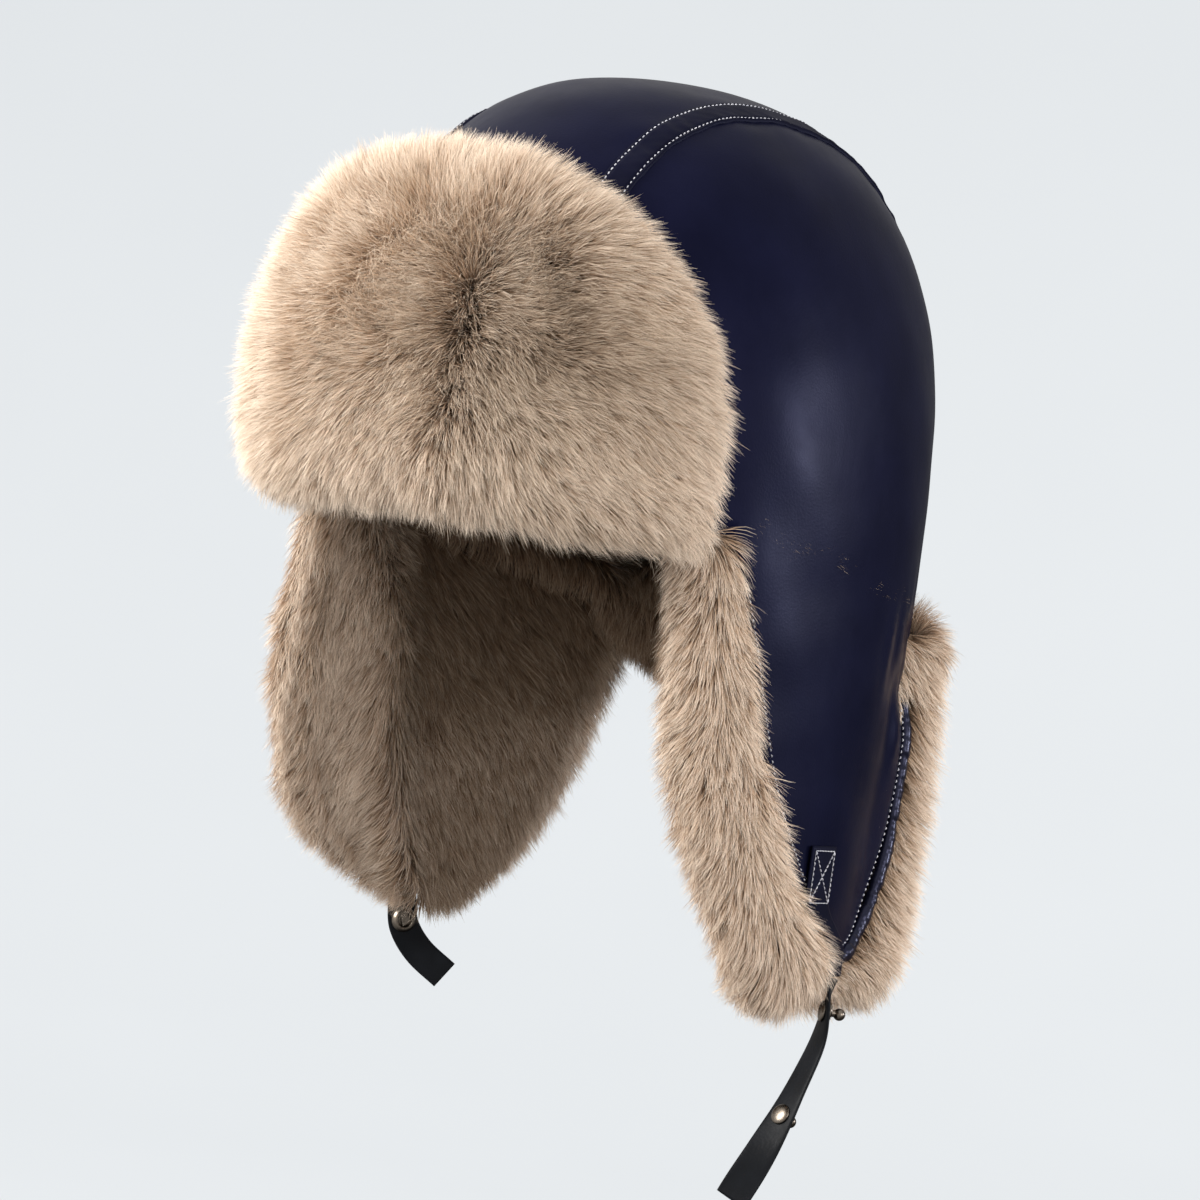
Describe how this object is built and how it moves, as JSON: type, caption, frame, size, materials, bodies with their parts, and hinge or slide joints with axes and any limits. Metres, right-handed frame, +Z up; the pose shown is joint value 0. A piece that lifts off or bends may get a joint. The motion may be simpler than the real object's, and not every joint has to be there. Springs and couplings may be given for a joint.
{
  "type": "trapper hat",
  "caption": "Navy leather trapper hat with a turned-up fur brim, fur lined ear flaps and snap chin straps.",
  "frame": {"origin": "middle of the head opening, at the level of the crown's lower edge at the forehead", "axes": "+Z up through the crown, -Y the way the wearer faces, +X the wearer's left"},
  "size_m": [0.2236, 0.2891, 0.392],
  "materials": {
    "navy_leather": "smooth satin, dark navy",
    "beige_fur": "dense long pile fur, beige with browner roots",
    "dark_satin": "near black satin",
    "wadding": "matte off-white wadding",
    "stiffener_board": "matte",
    "strap_leather": "satin, charcoal navy",
    "gunmetal": "polished dark bronze"
  },
  "bodies": {
    "crown": {"crown_centre_panel": "navy_leather", "crown_left_side_panel": "navy_leather", "crown_right_side_panel": "navy_leather", "crown_left_seam_band": "navy_leather", "crown_right_seam_band": "navy_leather", "crown_wadding": "wadding", "crown_lining": "dark_satin", "sweatband": "dark_satin", "nape_fur": "beige_fur", "nape_hem": "navy_leather"},
    "brim": {"brim_fur": "beige_fur", "brim_leather_back": "navy_leather", "brim_stiffener": "stiffener_board"},
    "left_flap": {"left_flap_leather": "navy_leather", "left_flap_wadding": "wadding", "left_flap_fur": "beige_fur", "left_flap_hem": "navy_leather", "left_strap_anchor": "strap_leather"},
    "right_flap": {"right_flap_leather": "navy_leather", "right_flap_wadding": "wadding", "right_flap_fur": "beige_fur", "right_flap_hem": "navy_leather", "right_strap_anchor": "strap_leather"},
    "left_strap": {"left_strap": "strap_leather", "upper_snap_stud": "gunmetal", "upper_stud_cap": "gunmetal", "lower_snap_stud": "gunmetal", "lower_stud_cap": "gunmetal"},
    "right_strap": {"right_strap": "strap_leather", "snap_socket": "gunmetal", "socket_spring": "gunmetal", "socket_cap": "gunmetal"}
  },
  "joints": [
    {"name": "brim_fold", "type": "hinge", "parent": "crown", "child": "brim", "pos_m": [0, -0.129, -0.006], "axis": [1, 0, 0], "range_deg": [0, 110]},
    {"name": "left_flap_fold", "type": "hinge", "parent": "crown", "child": "left_flap", "pos_m": [0.09852, 0.00768, -0.00967], "axis": [0.108, -0.9769, 0.1845], "range_deg": [0, 160]},
    {"name": "right_flap_fold", "type": "hinge", "parent": "crown", "child": "right_flap", "pos_m": [-0.09852, 0.00768, -0.00967], "axis": [0.108, 0.9769, -0.1845], "range_deg": [0, 150]},
    {"name": "left_strap_swing", "type": "hinge", "parent": "left_flap", "child": "left_strap", "pos_m": [0.09555, 0.03733, -0.147], "axis": [0.2902, -0.957, 0], "range_deg": [-20, 60]},
    {"name": "right_strap_swing", "type": "hinge", "parent": "right_flap", "child": "right_strap", "pos_m": [-0.11343, 0.03955, -0.14572], "axis": [0.2902, 0.957, 0], "range_deg": [-20, 50]}
  ]
}
